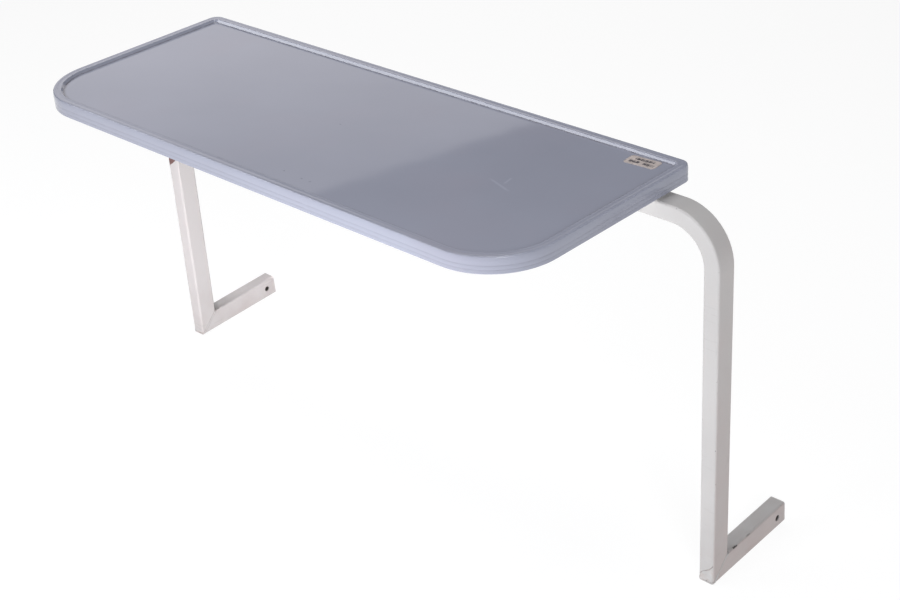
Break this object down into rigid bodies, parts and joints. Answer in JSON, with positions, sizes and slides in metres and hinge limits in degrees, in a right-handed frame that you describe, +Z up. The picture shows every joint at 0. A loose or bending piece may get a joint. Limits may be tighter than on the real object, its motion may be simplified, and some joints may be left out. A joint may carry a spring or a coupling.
{
  "type": "overbed table",
  "caption": "Bed-mounted overbed table: shallow moulded tray top on a bent rectangular steel tube frame, with mitred welded feet drilled for pivot bolts.",
  "frame": {"origin": "on the pivot axis, midway between the two feet", "axes": "+X along the tray's length, +Y away from the person towards the pivots, +Z up"},
  "size_m": [1.0006, 0.4167, 0.5254],
  "materials": {
    "tray_plastic": "glossy grey-lavender moulded ABS, lightly scratched",
    "board": "bare fibreboard",
    "laminate": "matt backing laminate",
    "frame_paint": "warm white powder coat, semi-gloss, chipped at the feet",
    "weld_paint": "rough ground weld under powder coat",
    "sleeve_steel": "plain steel tube",
    "plug_plastic": "grey-white nylon",
    "screw_steel": "bright zinc plate",
    "insert_metal": "turned brass",
    "label_paper": "aged beige paper label with plain printed bars"
  },
  "bodies": {
    "root": {"tabletop_shell": "tray_plastic", "core_board": "board", "backing_sheet": "laminate", "frame_tube": "frame_paint", "left_foot_tube": "frame_paint", "right_foot_tube": "frame_paint", "left_foot_weld": "weld_paint", "right_foot_weld": "weld_paint", "left_pivot_sleeve": "sleeve_steel", "right_pivot_sleeve": "sleeve_steel", "left_foot_plug": "plug_plastic", "right_foot_plug": "plug_plastic", "left_bearer": "frame_paint", "right_bearer": "frame_paint", "bearer_welds": "weld_paint", "mounting_screws": "screw_steel", "washers": "screw_steel", "threaded_inserts": "insert_metal", "asset_label": "label_paper"}
  },
  "joints": []
}
